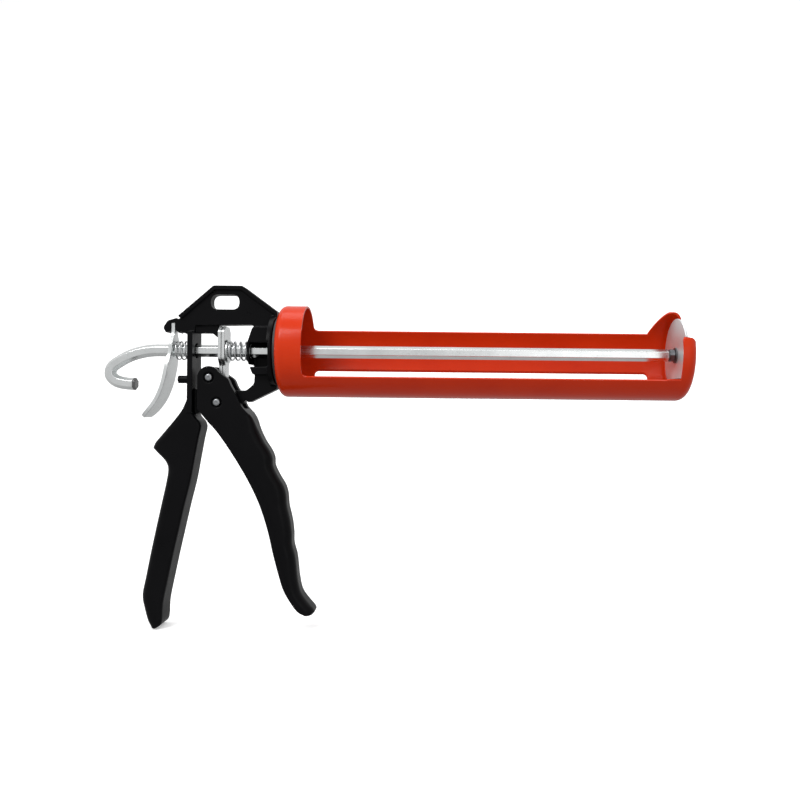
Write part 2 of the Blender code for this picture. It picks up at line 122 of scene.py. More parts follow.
def baked(obj, name=None, weld=1e-6):
    """The object as evaluated, in world space, as one plain mesh object."""
    bpy.context.view_layer.update()
    dg = bpy.context.evaluated_depsgraph_get()
    me = bpy.data.meshes.new_from_object(obj.evaluated_get(dg))
    world = obj.matrix_world.copy()
    name = name or obj.name
    bpy.data.objects.remove(obj, do_unlink=True)
    bm = bmesh.new()
    bm.from_mesh(me)
    bm.transform(world)
    bmesh.ops.remove_doubles(bm, verts=bm.verts[:], dist=weld)
    bmesh.ops.recalc_face_normals(bm, faces=bm.faces[:])
    bm.to_mesh(me)
    bm.free()
    new = link(bpy.data.objects.new(name, me))
    new.name = name
    return new


def combine(target, tool, how, weld=1e-6):
    name = target.name
    mod = target.modifiers.new("cut", "BOOLEAN")
    mod.operation = how
    mod.solver = "EXACT"
    mod.object = tool
    out = baked(target, name, weld)
    bpy.data.objects.remove(tool, do_unlink=True)
    return out


def join(name, objs):
    """Several plain meshes put into one object."""
    bm = bmesh.new()
    for o in objs:
        me = o.data.copy()
        me.transform(o.matrix_world)
        bm.from_mesh(me)
        bpy.data.objects.remove(o, do_unlink=True)
    me = bpy.data.meshes.new(name)
    bm.to_mesh(me)
    bm.free()
    return link(bpy.data.objects.new(name, me))


def cast(obj, voxel, soften, keep):
    """A casting's skin: corners and inside corners rounded alike by a voxel skin, then thinned."""
    re = obj.modifiers.new("skin", "REMESH")
    re.mode = "VOXEL"
    re.voxel_size = voxel * MM
    re.adaptivity = 0.0
    sm = obj.modifiers.new("soften", "SMOOTH")
    sm.factor = 0.5
    sm.iterations = soften
    if keep < 1:
        de = obj.modifiers.new("thin", "DECIMATE")
        de.ratio = keep
    return baked(obj, obj.name, 1e-7)


def bevel(obj, width, segments=2, angle=38.0):
    mod = obj.modifiers.new("edges", "BEVEL")
    mod.width = width * MM
    mod.segments = segments
    mod.limit_method = "ANGLE"
    mod.angle_limit = math.radians(angle)
    mod.use_clamp_overlap = False
    mod.miter_outer = "MITER_ARC"
    return baked(obj, obj.name, 1e-7)


def smooth_line(pts, per=4, closed=False):
    """Catmull-Rom curve through the points."""
    n = len(pts)
    dim = len(pts[0])
    out = []
    for i in range(n if closed else n - 1):
        if closed:
            p = [pts[(i + k - 1) % n] for k in range(4)]
        else:
            p = [pts[max(0, min(n - 1, i + k - 1))] for k in range(4)]
        for s in range(per):
            t = s / per
            out.append(tuple(
                0.5 * (2 * p[1][c] + (p[2][c] - p[0][c]) * t
                       + (2 * p[0][c] - 5 * p[1][c] + 4 * p[2][c] - p[3][c]) * t * t
                       + (3 * p[1][c] - p[0][c] - 3 * p[2][c] + p[3][c]) * t ** 3)
                for c in range(dim)))
    if not closed:
        out.append(tuple(pts[-1]))
    return out


def arc(cx, cz, r, a0, a1, steps):
    return [(cx + r * math.cos(math.radians(a0 + (a1 - a0) * i / steps)),
             cz + r * math.sin(math.radians(a0 + (a1 - a0) * i / steps)))
            for i in range(steps + 1)]


def rounded(pts, r, steps=6):
    out = []
    n = len(pts)
    for i, p in enumerate(pts):
        ri = r[i] if isinstance(r, (list, tuple)) else r
        a = Vector(pts[i - 1]) - Vector(p)
        b = Vector(pts[(i + 1) % n]) - Vector(p)
        if ri <= 0:
            out.append(tuple(p))
            continue
        ang = a.angle(b)
        if ang > math.pi - 0.05:
            out.append(tuple(p))
            continue
        cut = min(ri / math.tan(ang / 2), 0.48 * a.length, 0.48 * b.length)
        p0 = Vector(p) + a.normalized() * cut
        p1 = Vector(p) + b.normalized() * cut
        for s in range(steps + 1):
            t = s / steps
            q = p0 * (1 - t) ** 2 + Vector(p) * 2 * t * (1 - t) + p1 * t * t
            out.append((q.x, q.y))
    return out


def curve_plate(name, outlines, half, matrix, edge=0.0, res=2):
    """A flat plate from one outline and any holes in it, with its edges rounded."""
    cu = bpy.data.curves.new(name, "CURVE")
    cu.dimensions = "2D"
    cu.fill_mode = "BOTH"
    cu.extrude = (half - edge) * MM
    cu.bevel_depth = edge * MM
    cu.bevel_resolution = res
    cu.offset = -edge * MM
    for pts in outlines:
        sp = cu.splines.new("POLY")
        sp.points.add(len(pts) - 1)
        for q, (x, z) in zip(sp.points, pts):
            q.co = (x * MM, z * MM, 0.0, 1.0)
        sp.use_cyclic_u = True
    obj = link(bpy.data.objects.new(name, cu))
    obj.matrix_world = matrix
    return baked(obj, name)


def side_plate(name, pts, half, y=0.0, edge=0.0, res=2, holes=()):
    m = Matrix(((1, 0, 0, DX * MM), (0, 0, -1, y * MM), (0, 1, 0, 0), (0, 0, 0, 1)))
    return curve_plate(name, [pts, *holes], half, m, edge, res)


def front_plate(name, pts, x0, x1, edge=0.0, res=2, holes=()):
    m = Matrix(((0, 0, 1, ((x0 + x1) / 2 + DX) * MM), (1, 0, 0, 0), (0, 1, 0, 0), (0, 0, 0, 1)))
    return curve_plate(name, [pts, *holes], abs(x1 - x0) / 2, m, edge, res)


def turned(name, profile, steps, centre=None, axis="X"):
    """A closed (radius, distance) outline turned about an axis; built ring by ring."""
    bm = bmesh.new()
    rings = []
    for r, a in profile:
        if r <= 1e-6:
            rings.append([bm.verts.new((a, 0, 0))])
        else:
            rings.append([bm.verts.new((a, r * math.cos(2 * math.pi * k / steps), r * math.sin(2 * math.pi * k / steps)))
                          for k in range(steps)])
    n = len(profile)
    for i in range(n):
        a, b = rings[i], rings[(i + 1) % n]
        if len(a) == 1 and len(b) == 1:
            continue
        for k in range(steps):
            j = (k + 1) % steps
            if len(a) == 1:
                bm.faces.new((a[0], b[k], b[j]))
            elif len(b) == 1:
                bm.faces.new((a[k], a[j], b[0]))
            else:
                bm.faces.new((a[k], a[j], b[j], b[k]))
    if axis == "Y":
        bm.transform(Matrix(((0, 1, 0, 0), (1, 0, 0, 0), (0, 0, 1, 0), (0, 0, 0, 1))))
    c = centre or (0, 0, 0)
    bm.transform(Matrix.Translation(Vector(((c[0] + DX) * MM, c[1] * MM, c[2] * MM))) @ Matrix.Scale(MM, 4))
    return mesh_object(name, bm)


def ring(name, r0, r1, x0, x1, steps=96, e=0.12):
    return turned(name, [(r1 - e, x1), (r1, x1 - e), (r1, x0 + e), (r1 - e, x0),
                         (r0 + e, x0), (r0, x0 + e), (r0, x1 - e), (r0 + e, x1)], steps)


def rod_of(name, r, p0, p1, sides=64):
    a = Vector(((p0[0] + DX) * MM, p0[1] * MM, p0[2] * MM))
    b = Vector(((p1[0] + DX) * MM, p1[1] * MM, p1[2] * MM))
    bm = bmesh.new()
    q = (b - a).to_track_quat("Z", "Y").to_matrix().to_4x4()
    bmesh.ops.create_cone(bm, cap_ends=True, segments=sides, radius1=r * MM, radius2=r * MM,
                          depth=(b - a).length, matrix=Matrix.Translation((a + b) / 2) @ q)
    return mesh_object(name, bm)


def block(name, lo, hi):
    lo = Vector(((lo[0] + DX) * MM, lo[1] * MM, lo[2] * MM))
    hi = Vector(((hi[0] + DX) * MM, hi[1] * MM, hi[2] * MM))
    bm = bmesh.new()
    bmesh.ops.create_cube(bm, size=1.0, matrix=Matrix.Translation((lo + hi) / 2)
                          @ Matrix.Diagonal(((hi - lo).x, (hi - lo).y, (hi - lo).z, 1)))
    return mesh_object(name, bm)


def loft(name, rings, closed_ends=True):
    """Equal rings of points in millimetres (drawing X, Y, Z) joined into one skin."""
    bm = bmesh.new()
    vs = [[bm.verts.new(((x + DX) * MM, y * MM, z * MM)) for x, y, z in r] for r in rings]
    n = len(vs[0])
    for a, b in zip(vs, vs[1:]):
        for k in range(n):
            j = (k + 1) % n
            bm.faces.new((a[k], a[j], b[j], b[k]))
    if closed_ends:
        bm.faces.new(vs[0][::-1])
        bm.faces.new(vs[-1])
    return mesh_object(name, bm)


def at_height(line, z):
    """X of an outline running downwards, at height z."""
    for (x0, z0), (x1, z1) in zip(line, line[1:]):
        if (z0 - z) * (z1 - z) <= 0 and abs(z1 - z0) > 1e-9:
            return x0 + (x1 - x0) * (z - z0) / (z1 - z0)
    return line[0][0] if abs(line[0][1] - z) < abs(line[-1][1] - z) else line[-1][0]


def grip_rings(left, right, zs, half, left_round, right_round, arc_steps=7):
    """Cross-sections of a grip: flat sides, and its back and front edges rounded by
    (width, depth) in millimetres; each may be a function of the height."""
    out = []
    for z in zs:
        x0, x1 = at_height(left, z), at_height(right, z)
        w = max(x1 - x0, 0.3)
        h = half(z) if callable(half) else half
        lw, ld = left_round(z) if callable(left_round) else left_round
        rw, rd = right_round(z) if callable(right_round) else right_round
        s = min(1.0, 0.96 * w / (lw + rw))
        lw, rw = lw * s, rw * s
        ld, rd = min(ld, h - 0.4), min(rd, h - 0.4)
        pts = []
        for i in range(arc_steps + 1):
            t = math.pi / 2 * i / arc_steps
            pts.append((x0 + lw - lw * math.cos(t), h - ld + ld * math.sin(t)))
        for i in range(arc_steps + 1):
            t = math.pi / 2 * i / arc_steps
            pts.append((x1 - rw + rw * math.sin(t), h - rd + rd * math.cos(t)))
        full = [(x, y, z) for x, y in pts] + [(x, -y, z) for x, y in pts[::-1]]
        out.append(full)
    return out


def coil(name, radius, wire, x0, x1, turns, per_turn=40, sides=14):
    """A compression spring round the rod: closed and ground end turns."""
    n = int(turns * per_turn)
    pts = []
    for i in range(n + 1):
        t = i / n
        s = min(1.0, max(0.0, (t * turns - 0.6) / (turns - 1.2)))
        a = 2 * math.pi * turns * t
        flat = 2.15 * wire
        x = x0 + flat * min(t * turns / 0.6, 1.0) * 0.3 + (x1 - x0 - 0.6 * flat) * s \
            + flat * 0.3 * max(0.0, (t * turns - turns + 0.6) / 0.6)
        pts.append(Vector((x, radius * math.cos(a), radius * math.sin(a))))
    rings = []
    for i, p in enumerate(pts):
        d = (pts[min(i + 1, n)] - pts[max(i - 1, 0)]).normalized()
        out = Vector((0, p.y, p.z)).normalized()
        side = d.cross(out).normalized()
        up = side.cross(d).normalized()
        k = wire if 2 < i < n - 2 else wire * (0.80 if i in (0, n) else 0.94)
        rings.append([tuple(p + (up * math.cos(a) + side * math.sin(a)) * k)
                      for a in [2 * math.pi * j / sides for j in range(sides)]])
    return loft(name, rings)


def shade(obj, angle=35.0, weighted=True):
    obj.data.shade_smooth()
    obj.data.set_sharp_from_angle(angle=math.radians(angle))
    if weighted:
        w = obj.modifiers.new("normals", "WEIGHTED_NORMAL")
        w.keep_sharp = True
        w.weight = 80
    return obj


# ============================================================ outlines
def web_outline():
    px, pz = PIVOT
    lug = arc(px, pz, 10.5, 330, 207, 24)
    head = rounded([
        (-270.5, 37.65), (-253.7, 37.65), (FRONT_FACE_X, 22.8), (FRONT_FACE_X, -22.3), (-250.2, -30.8)],
        [2.5, 2.5, 0, 0, 2.0])
    left = [(-281.6, -37.8), (-283.6, -37.8), (-283.6, 8.6)]
    nub = rounded([
        (-290.2, 9.2), (-292.9, 12.4), (-292.9, 16.4), (-296.0, 16.4), (-296.0, 11.0),
        (-298.2, 10.0), (-300.0, 13.2), (-297.4, 17.4), (-291.6, 19.1)],
        [2.0, 1.5, 0.6, 0.6, 0.6, 1.2, 1.8, 2.0, 1.0], 4)
    return head + lug + left + nub


def mechanism_window():
    return rounded([
        (-281.2, 14.6), (-246.4, 15.4), (-250.2, 4.6), (-250.2, -5.2), (-246.2, -12.6),
        (-246.4, -19.2), (-251.0, -23.2), (-281.2, -22.6)],
        [1.0, 2.0, 2.0, 2.0, 3.0, 4.0, 3.0, 1.0])


def hang_slot():
    return rounded([(-272.2, 32.8), (-255.6, 32.8), (-255.6, 24.2), (-272.2, 24.2)], 4.2, 10)


def rim_outline():
    outer = [(-291.1, 20.0), (-270.4, 38.0), (-253.6, 38.0), (FRONT_FACE_X, 23.2)]
    inner = [(FRONT_FACE_X, 20.2), (-254.5, 35.6), (-269.5, 35.6), (-289.1, 18.4)]
    return rounded(outer + inner, [0.5, 2.5, 2.5, 0, 0, 2.0, 2.0, 0.5])


GRIP_LEFT = smooth_line([(-284.0, -27.2), (-285.6, -30.2), (-288.2, -35.0), (-292.0, -40.0), (-297.6, -46.8),
                         (-303.6, -54.0)], 6) \
    + smooth_line([(-304.9, -57.2), (-301.6, -60.6), (-297.6, -64.8), (-296.0, -69.5),
                   (-297.1, -77.5), (-299.8, -90.3), (-302.8, -104.4), (-305.7, -118.6),
                   (-308.4, -132.8), (-310.2, -143.0), (-308.8, -151.0), (-306.6, -158.4), (-304.0, -162.2)], 6)
GRIP_RIGHT = smooth_line([(-281.2, -27.2), (-281.1, -35.0), (-279.9, -38.6), (-277.2, -41.6), (-276.2, -44.6)], 6)[:-1] \
    + smooth_line([(-276.4, -46.0), (-277.6, -51.3), (-279.5, -62.0), (-282.0, -76.1), (-285.4, -90.3),
                   (-288.5, -104.4), (-291.6, -118.6), (-294.5, -132.8), (-297.3, -147.4),
                   (-298.0, -158.4), (-300.4, -161.4), (-302.4, -162.0)], 6)

TRIGGER_FRONT = smooth_line([(-254.2, -28.8), (-252.2, -32.8), (-246.9, -38.4), (-243.8, -45.5), (-240.3, -52.6),
                             (-237.0, -57.6), (-235.0, -62.2), (-234.6, -67.0), (-232.0, -72.6), (-228.4, -78.6),
                             (-226.8, -84.0), (-226.2, -90.5), (-224.2, -99.0), (-223.2, -106.5), (-223.0, -112.8),
                             (-221.2, -119.4), (-220.3, -126.0), (-219.5, -133.0), (-217.7, -140.6),
                             (-213.8, -146.2), (-210.4, -150.0), (-209.6, -152.2), (-211.2, -153.7)], 6)
TRIGGER_BACK = smooth_line([(-277.4, -31.0), (-276.6, -35.5), (-272.4, -41.2), (-266.8, -47.4), (-261.0, -55.4),
                            (-254.4, -65.5), (-247.4, -77.5), (-241.4, -90.3), (-236.8, -104.4), (-233.4, -118.6),
                            (-229.5, -132.6), (-227.0, -139.6), (-223.2, -146.0), (-219.4, -151.0),
                            (-215.6, -153.2), (-212.4, -153.75)], 6)


def trigger_slot():
    px, pz = PIVOT
    low = arc(px, pz, 12.2, 235, 345, 24)

    def out(a, r):
        return (px + r * math.cos(math.radians(a)), pz + r * math.sin(math.radians(a)))
    return low + [out(350, 45), out(20, 60), out(90, 45), out(160, 60), out(200, 45), out(235, 45)]


# ============================================================ materials
class Nodes:
    """A short way to write a node material."""

    def __init__(self, name, colour, rough, metal):
        self.m = bpy.data.materials.new(name)
        self.m.use_nodes = True
        self.t = self.m.node_tree
        self.b = self.t.nodes["Principled BSDF"]
        self.b.inputs["Base Color"].default_value = (*colour, 1)
        self.b.inputs["Roughness"].default_value = rough
        self.b.inputs["Metallic"].default_value = metal
        self.m.diffuse_color = (*colour, 1)
        self.coord = self.t.nodes.new("ShaderNodeTexCoord").outputs["Object"]

    def node(self, kind, **props):
        n = self.t.nodes.new(kind)
        for k, v in props.items():
            setattr(n, k, v)
        return n

    def to(self, a, b):
        self.t.links.new(a, b)

    def mapped(self, scale, rotate=(0, 0, 0)):
        n = self.node("ShaderNodeMapping")
        n.inputs["Scale"].default_value = scale
        n.inputs["Rotation"].default_value = rotate
        self.to(self.coord, n.inputs["Vector"])
        return n.outputs["Vector"]

    def noise(self, vector, scale, detail=3.0, rough=0.55):
        n = self.node("ShaderNodeTexNoise")
        n.inputs["Scale"].default_value = scale
        n.inputs["Detail"].default_value = detail
        n.inputs["Roughness"].default_value = rough
        self.to(vector, n.inputs["Vector"])
        return n.outputs["Fac"]

    def ramp(self, fac, stops):
        n = self.node("ShaderNodeValToRGB")
        r = n.color_ramp
        while len(r.elements) < len(stops):
            r.elements.new(0.5)
        for e, (p, c) in zip(r.elements, stops):
            e.position = p
            e.color = (c, c, c, 1) if isinstance(c, (int, float)) else (*c, 1)
        self.to(fac, n.inputs["Fac"])
        return n.outputs["Color"]

    def math(self, op, a, b):
        n = self.node("ShaderNodeMath", operation=op)
        for i, v in enumerate((a, b)):
            if isinstance(v, (int, float)):
                n.inputs[i].default_value = v
            else:
                self.to(v, n.inputs[i])
        return n.outputs[0]

    def mix(self, fac, a, b):
        n = self.node("ShaderNodeMix", data_type="RGBA")
        for s, v in ((n.inputs[0], fac), (n.inputs[6], a), (n.inputs[7], b)):
            if isinstance(v, (int, float)):
                s.default_value = v
            elif isinstance(v, tuple):
                s.default_value = (*v, 1)
            else:
                self.to(v, s)
        return n.outputs[2]

    def bump(self, height, distance, strength=1.0, after=None):
        n = self.node("ShaderNodeBump")
        n.inputs["Distance"].default_value = distance
        n.inputs["Strength"].default_value = strength
        self.to(height, n.inputs["Height"])
        if after is not None:
            self.to(after, n.inputs["Normal"])
        self.to(n.outputs["Normal"], self.b.inputs["Normal"])
        return n.outputs["Normal"]


def enamel(name, colour, dark, rough, peel, coat, edge, worn, wear, spec):
    """Stoved enamel: orange peel, a little cloudiness, thinner paint on the sharp edges."""
    n = Nodes(name, colour, rough, 0.0)
    cloud = n.noise(n.coord, 38.0, 3.0)
    base = n.mix(n.ramp(cloud, [(0.30, 0.0), (0.72, 1.0)]), dark, colour)
    geo = n.node("ShaderNodeNewGeometry")
    rim = n.ramp(geo.outputs["Pointiness"], [(0.50, 0.0), (edge, 1.0)])
    patch = n.ramp(n.noise(n.coord, 260.0, 4.0, 0.6), [(0.50, 0.0), (0.66, 1.0)])
    base = n.mix(n.math("MULTIPLY", n.math("MULTIPLY", rim, patch), wear), base, worn)
    n.to(base, n.b.inputs["Base Color"])
    r = n.ramp(n.noise(n.coord, 120.0, 4.0, 0.6), [(0.25, rough - 0.05), (0.80, rough + 0.07)])
    n.to(r, n.b.inputs["Roughness"])
    fine = n.bump(n.noise(n.coord, 1500.0, 2.0), 0.00004, 0.35 * peel)
    n.bump(n.noise(n.coord, 420.0, 2.0), 0.00016, 0.35 * peel, fine)
    n.b.inputs["Specular IOR Level"].default_value = spec
    n.b.inputs["Coat Weight"].default_value = coat
    n.b.inputs["Coat Roughness"].default_value = 0.12
    n.b.inputs["Coat IOR"].default_value = 1.5
    return n.m


def plated(name, colour, dark, rough, stretch, scale, strength, spots=0.0):
    """Plated steel with drawn or turned marks; stretch is the scale along X, Y and Z."""
    n = Nodes(name, colour, rough, 1.0)
    marks = n.noise(n.mapped(stretch), scale, 4.0, 0.62)
    cloud = n.noise(n.coord, 70.0, 3.0)
    tone = n.mix(n.ramp(cloud, [(0.30, 0.0), (0.75, 1.0)]), dark, colour)
    tone = n.mix(n.math("MULTIPLY", n.ramp(marks, [(0.35, 1.0), (0.60, 0.0)]), 0.30), tone, dark)
    if spots:
        tone = n.mix(n.math("MULTIPLY", n.ramp(n.noise(n.coord, 700.0, 2.0), [(0.60, 0.0), (0.72, 1.0)]), spots), tone,
                     (0.16, 0.15, 0.14))
    n.to(tone, n.b.inputs["Base Color"])
    n.to(n.ramp(marks, [(0.25, rough + 0.10), (0.75, max(0.04, rough - 0.06))]), n.b.inputs["Roughness"])
    n.bump(marks, 0.00003, strength)
    return n.m


def turned_metal(name, colour, dark, rough):
    """Plated disc with fine turning marks round the rod's axis."""
    n = Nodes(name, colour, rough, 1.0)
    flat = n.node("ShaderNodeMapping")
    flat.inputs["Scale"].default_value = (0, 1, 1)
    n.to(n.coord, flat.inputs["Vector"])
    ln = n.node("ShaderNodeVectorMath", operation="LENGTH")
    n.to(flat.outputs["Vector"], ln.inputs[0])
    mk = n.node("ShaderNodeTexNoise", noise_dimensions="1D")
    mk.inputs["Scale"].default_value = 2600.0
    mk.inputs["Detail"].default_value = 3.0
    n.to(ln.outputs["Value"], mk.inputs["W"])
    cloud = n.noise(n.coord, 90.0, 3.0)
    tone = n.mix(n.ramp(cloud, [(0.3, 0.0), (0.75, 1.0)]), dark, colour)
    n.to(tone, n.b.inputs["Base Color"])
    n.to(n.ramp(mk.outputs["Fac"], [(0.3, rough + 0.08), (0.7, rough - 0.05)]), n.b.inputs["Roughness"])
    n.bump(mk.outputs["Fac"], 0.00002, 0.5)
    return n.m


def moulded(name, colour, rough):
    n = Nodes(name, colour, rough, 0.0)
    tone = n.mix(n.noise(n.coord, 160.0, 3.0), tuple(c * 0.75 for c in colour), colour)
    n.to(tone, n.b.inputs["Base Color"])
    n.to(n.ramp(n.noise(n.coord, 300.0, 2.0), [(0.3, rough - 0.06), (0.7, rough + 0.08)]), n.b.inputs["Roughness"])
    n.bump(n.noise(n.coord, 2200.0, 2.0), 0.00003, 0.4)
    return n.m


BLACK = enamel("black_enamel", (0.0042, 0.0042, 0.0048), (0.0030, 0.0030, 0.0035), 0.30, 1.0, 0.0, 0.62,
               (0.034, 0.034, 0.036), 0.40, 0.20)
BLACK.node_tree.nodes["Principled BSDF"].inputs["IOR"].default_value = 1.16
BLACK.node_tree.nodes["Principled BSDF"].inputs["Specular IOR Level"].default_value = 0.5
RED = enamel("red_enamel", (0.62, 0.036, 0.0050), (0.56, 0.028, 0.0042), 0.22, 0.7, 0.05, 0.60,
             (0.62, 0.05, 0.012), 0.35, 0.13)
ROD = plated("plated_rod", (0.84, 0.86, 0.86), (0.72, 0.74, 0.74), 0.20, (0.03, 1.0, 1.0), 1900.0, 0.5, 0.12)


def darkened_hook_end(mat, x, z):
    """Darken the end of the hook, beyond x and below z."""
    tree = mat.node_tree
    coord = next(k for k in tree.nodes if k.bl_idname == "ShaderNodeTexCoord")
    split = tree.nodes.new("ShaderNodeSeparateXYZ")
    tree.links.new(coord.outputs["Object"], split.inputs[0])
    ahead = tree.nodes.new("ShaderNodeMath")
    ahead.operation = "GREATER_THAN"
    ahead.inputs[1].default_value = x
    tree.links.new(split.outputs[0], ahead.inputs[0])
    low = tree.nodes.new("ShaderNodeMath")
    low.operation = "LESS_THAN"
    low.inputs[1].default_value = z
    tree.links.new(split.outputs[2], low.inputs[0])
    both = tree.nodes.new("ShaderNodeMath")
    both.operation = "MULTIPLY"
    tree.links.new(ahead.outputs[0], both.inputs[0])
    tree.links.new(low.outputs[0], both.inputs[1])
    mix = tree.nodes.new("ShaderNodeMix")
    mix.data_type = "RGBA"
    base = tree.nodes["Principled BSDF"].inputs["Base Color"]
    tree.links.new(both.outputs[0], mix.inputs[0])
    tree.links.new(base.links[0].from_socket, mix.inputs[6])
    mix.inputs[7].default_value = (0.16, 0.16, 0.16, 1)
    tree.links.new(mix.outputs[2], base)


# the last of the hook, its end face included, is drawn darker
darkened_hook_end(ROD, (-318.2 + DX) * MM, -12.0 * MM)
LEVER = plated("plated_lever", (0.80, 0.82, 0.82), (0.70, 0.72, 0.72), 0.30, (1.0, 1.0, 0.12), 1200.0, 0.5, 0.15)
ZINC = plated("zinc_steel", (0.82, 0.84, 0.84), (0.70, 0.72, 0.72), 0.26, (1.0, 1.0, 1.0), 1500.0, 0.4, 0.10)
SPRING = plated("spring_steel", (0.74, 0.75, 0.76), (0.60, 0.61, 0.62), 0.24, (1.0, 1.0, 1.0), 2400.0, 0.3)
DARK = plated("dark_steel", (0.20, 0.20, 0.21), (0.12, 0.12, 0.13), 0.36, (1.0, 1.0, 1.0), 1500.0, 0.5, 0.2)
DISC = turned_metal("plated_plunger", (0.82, 0.84, 0.85), (0.74, 0.76, 0.77), 0.42)
DISC.node_tree.nodes["Principled BSDF"].inputs["Metallic"].default_value = 0.82
PIN = plated("pin_steel", (0.36, 0.37, 0.38), (0.26, 0.27, 0.28), 0.34, (1.0, 1.0, 1.0), 1500.0, 0.4, 0.10)
NYLON = moulded("black_nylon", (0.030, 0.030, 0.032), 0.55)


def put(obj, mat, body, slot, *nodes, angle=35.0, weighted=True):
    """Finish a piece: material, smooth shading, what it stands for and what it rides on."""
    obj.data.materials.clear()
    obj.data.materials.append(mat)
    shade(obj, angle, weighted)
    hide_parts(*nodes)
    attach(obj, body)
    return obj


# ============================================================ pieces: the casting
def make_frame():
    o = side_plate("frame", web_outline(), WEB)
    o = combine(o, side_plate("rim", rim_outline(), 5.4), "UNION")
    o = combine(o, block("flange", (-284.3, -FLANGE, -36.5), (-281.2, FLANGE, 11.0)), "UNION")
    o = combine(o, side_plate("window", mechanism_window(), 20.0), "DIFFERENCE")
    o = combine(o, side_plate("slot", hang_slot(), 20.0), "DIFFERENCE")
    tooth = rounded([(-282.5, 16.4), (-267.6, 16.4), (-267.6, 13.0), (-267.5, 7.0), (-271.4, 10.2), (-282.5, 10.2)],
                    [0, 0, 0, 0.6, 1.0, 0], 3)
    o = combine(o, side_plate("tooth", tooth, 2.6), "UNION")
    zs = [-27.4 - 0.8 * i for i in range(170)]
    zs = [z for z in zs if z > -161.9] + [-161.95]
    grip = loft("grip", grip_rings(
        GRIP_LEFT, GRIP_RIGHT, zs, GRIP_HALF,
        lambda z: (4.6 if z < -66 else 4.6 * min(1.0, max(0.2, (-27 - z) / 14)), 5.2),
        (1.6, 2.2)))
    o = combine(o, grip, "UNION")
    o = combine(o, side_plate("boss", rounded([(-246.9, 14.0), (-234.0, 14.0), (-234.0, -14.0), (-246.6, -14.0),
                                               (-250.1, -5.0), (-250.1, 4.4)], [2, 0, 0, 2, 2, 2], 4), 7.6), "UNION")
    o = combine(o, turned("pad", [(0, FRONT_FACE_X), (20.4, FRONT_FACE_X), (20.9, FRONT_FACE_X - 0.7),
                                  (20.9, -236.4), (0, -236.4)], 96), "UNION")
    o = combine(o, turned("spigot", [(0, SPIGOT_END_X), (10.2, SPIGOT_END_X), (SPIGOT_R, SPIGOT_END_X - 0.8),
                                     (SPIGOT_R, -226.1), (10.0, -226.1), (10.0, -227.3), (SPIGOT_R, -227.3),
                                     (SPIGOT_R, -234.5), (0, -234.5)], 96), "UNION")
    o = combine(o, rod_of("peg", 2.3, (-291.9, 0, -17.0), (-283.0, 0, -17.0), 32), "UNION")
    o = combine(o, block("pocket", (-248.7, -24.0, -9.4), (-235.3, 4.6, 4.8)), "DIFFERENCE")
    o = combine(o, rod_of("bore_front", ROD_BORE_R, (-251.5, 0, 0), (-223.0, 0, 0)), "DIFFERENCE")
    o = combine(o, rod_of("bore_rear", ROD_BORE_R, (-285.6, 0, 0), (-280.0, 0, 0)), "DIFFERENCE")
    o = combine(o, rod_of("pivot_bore", PIN_R + 0.3, (PIVOT[0], -12, PIVOT[1]), (PIVOT[0], 12, PIVOT[1])), "DIFFERENCE")
    o = cast(o, 0.36, 3, 0.45)
    return put(o, BLACK, "frame", "black_enamel", "frame_casting", angle=60, weighted=False)


def make_trigger():
    head = [(-278.1, -34.2), (-278.1, -14.5)] + arc(-271.6, -15.8, 6.5, 168, 30, 18) \
        + smooth_line([(-263.2, -14.6), (-260.4, -16.6), (-258.8, -20.2), (-256.0, -25.0), (-254.2, -28.8),
                       (-252.2, -32.8), (-248.2, -36.9)], 3) + [(-272.0, -41.0), (-275.4, -37.4)]
    o = side_plate("trigger", head, CHEEK)
    zs = [-31.0 - 0.8 * i for i in range(155)]
    zs = [z for z in zs if z > -153.5] + [-153.6]

    def front(z):
        t = min(1.0, max(0.0, (-33 - z) / 14))
        return (1.2 + 4.2 * t, 1.2 + 4.6 * t)
    grip = loft("grip", grip_rings(TRIGGER_BACK, TRIGGER_FRONT, zs, CHEEK, (1.2, 1.6), front))
    o = combine(o, grip, "UNION")
    o = combine(o, side_plate("clevis", trigger_slot(), CHEEK_IN), "DIFFERENCE")
    for x, z in (PIVOT, ROLLER):
        o = combine(o, rod_of("hole", PIN_R + 0.3, (x, -12, z), (x, 12, z)), "DIFFERENCE")
        for s in (-1, 1):
            o = combine(o, rod_of("sink", PIN_R + 1.1, (x, s * (CHEEK - 0.8), z), (x, s * 12, z)), "DIFFERENCE")
    o = cast(o, 0.36, 3, 0.45)
    return put(o, BLACK, "trigger", "black_enamel", "trigger_handle", angle=60, weighted=False)


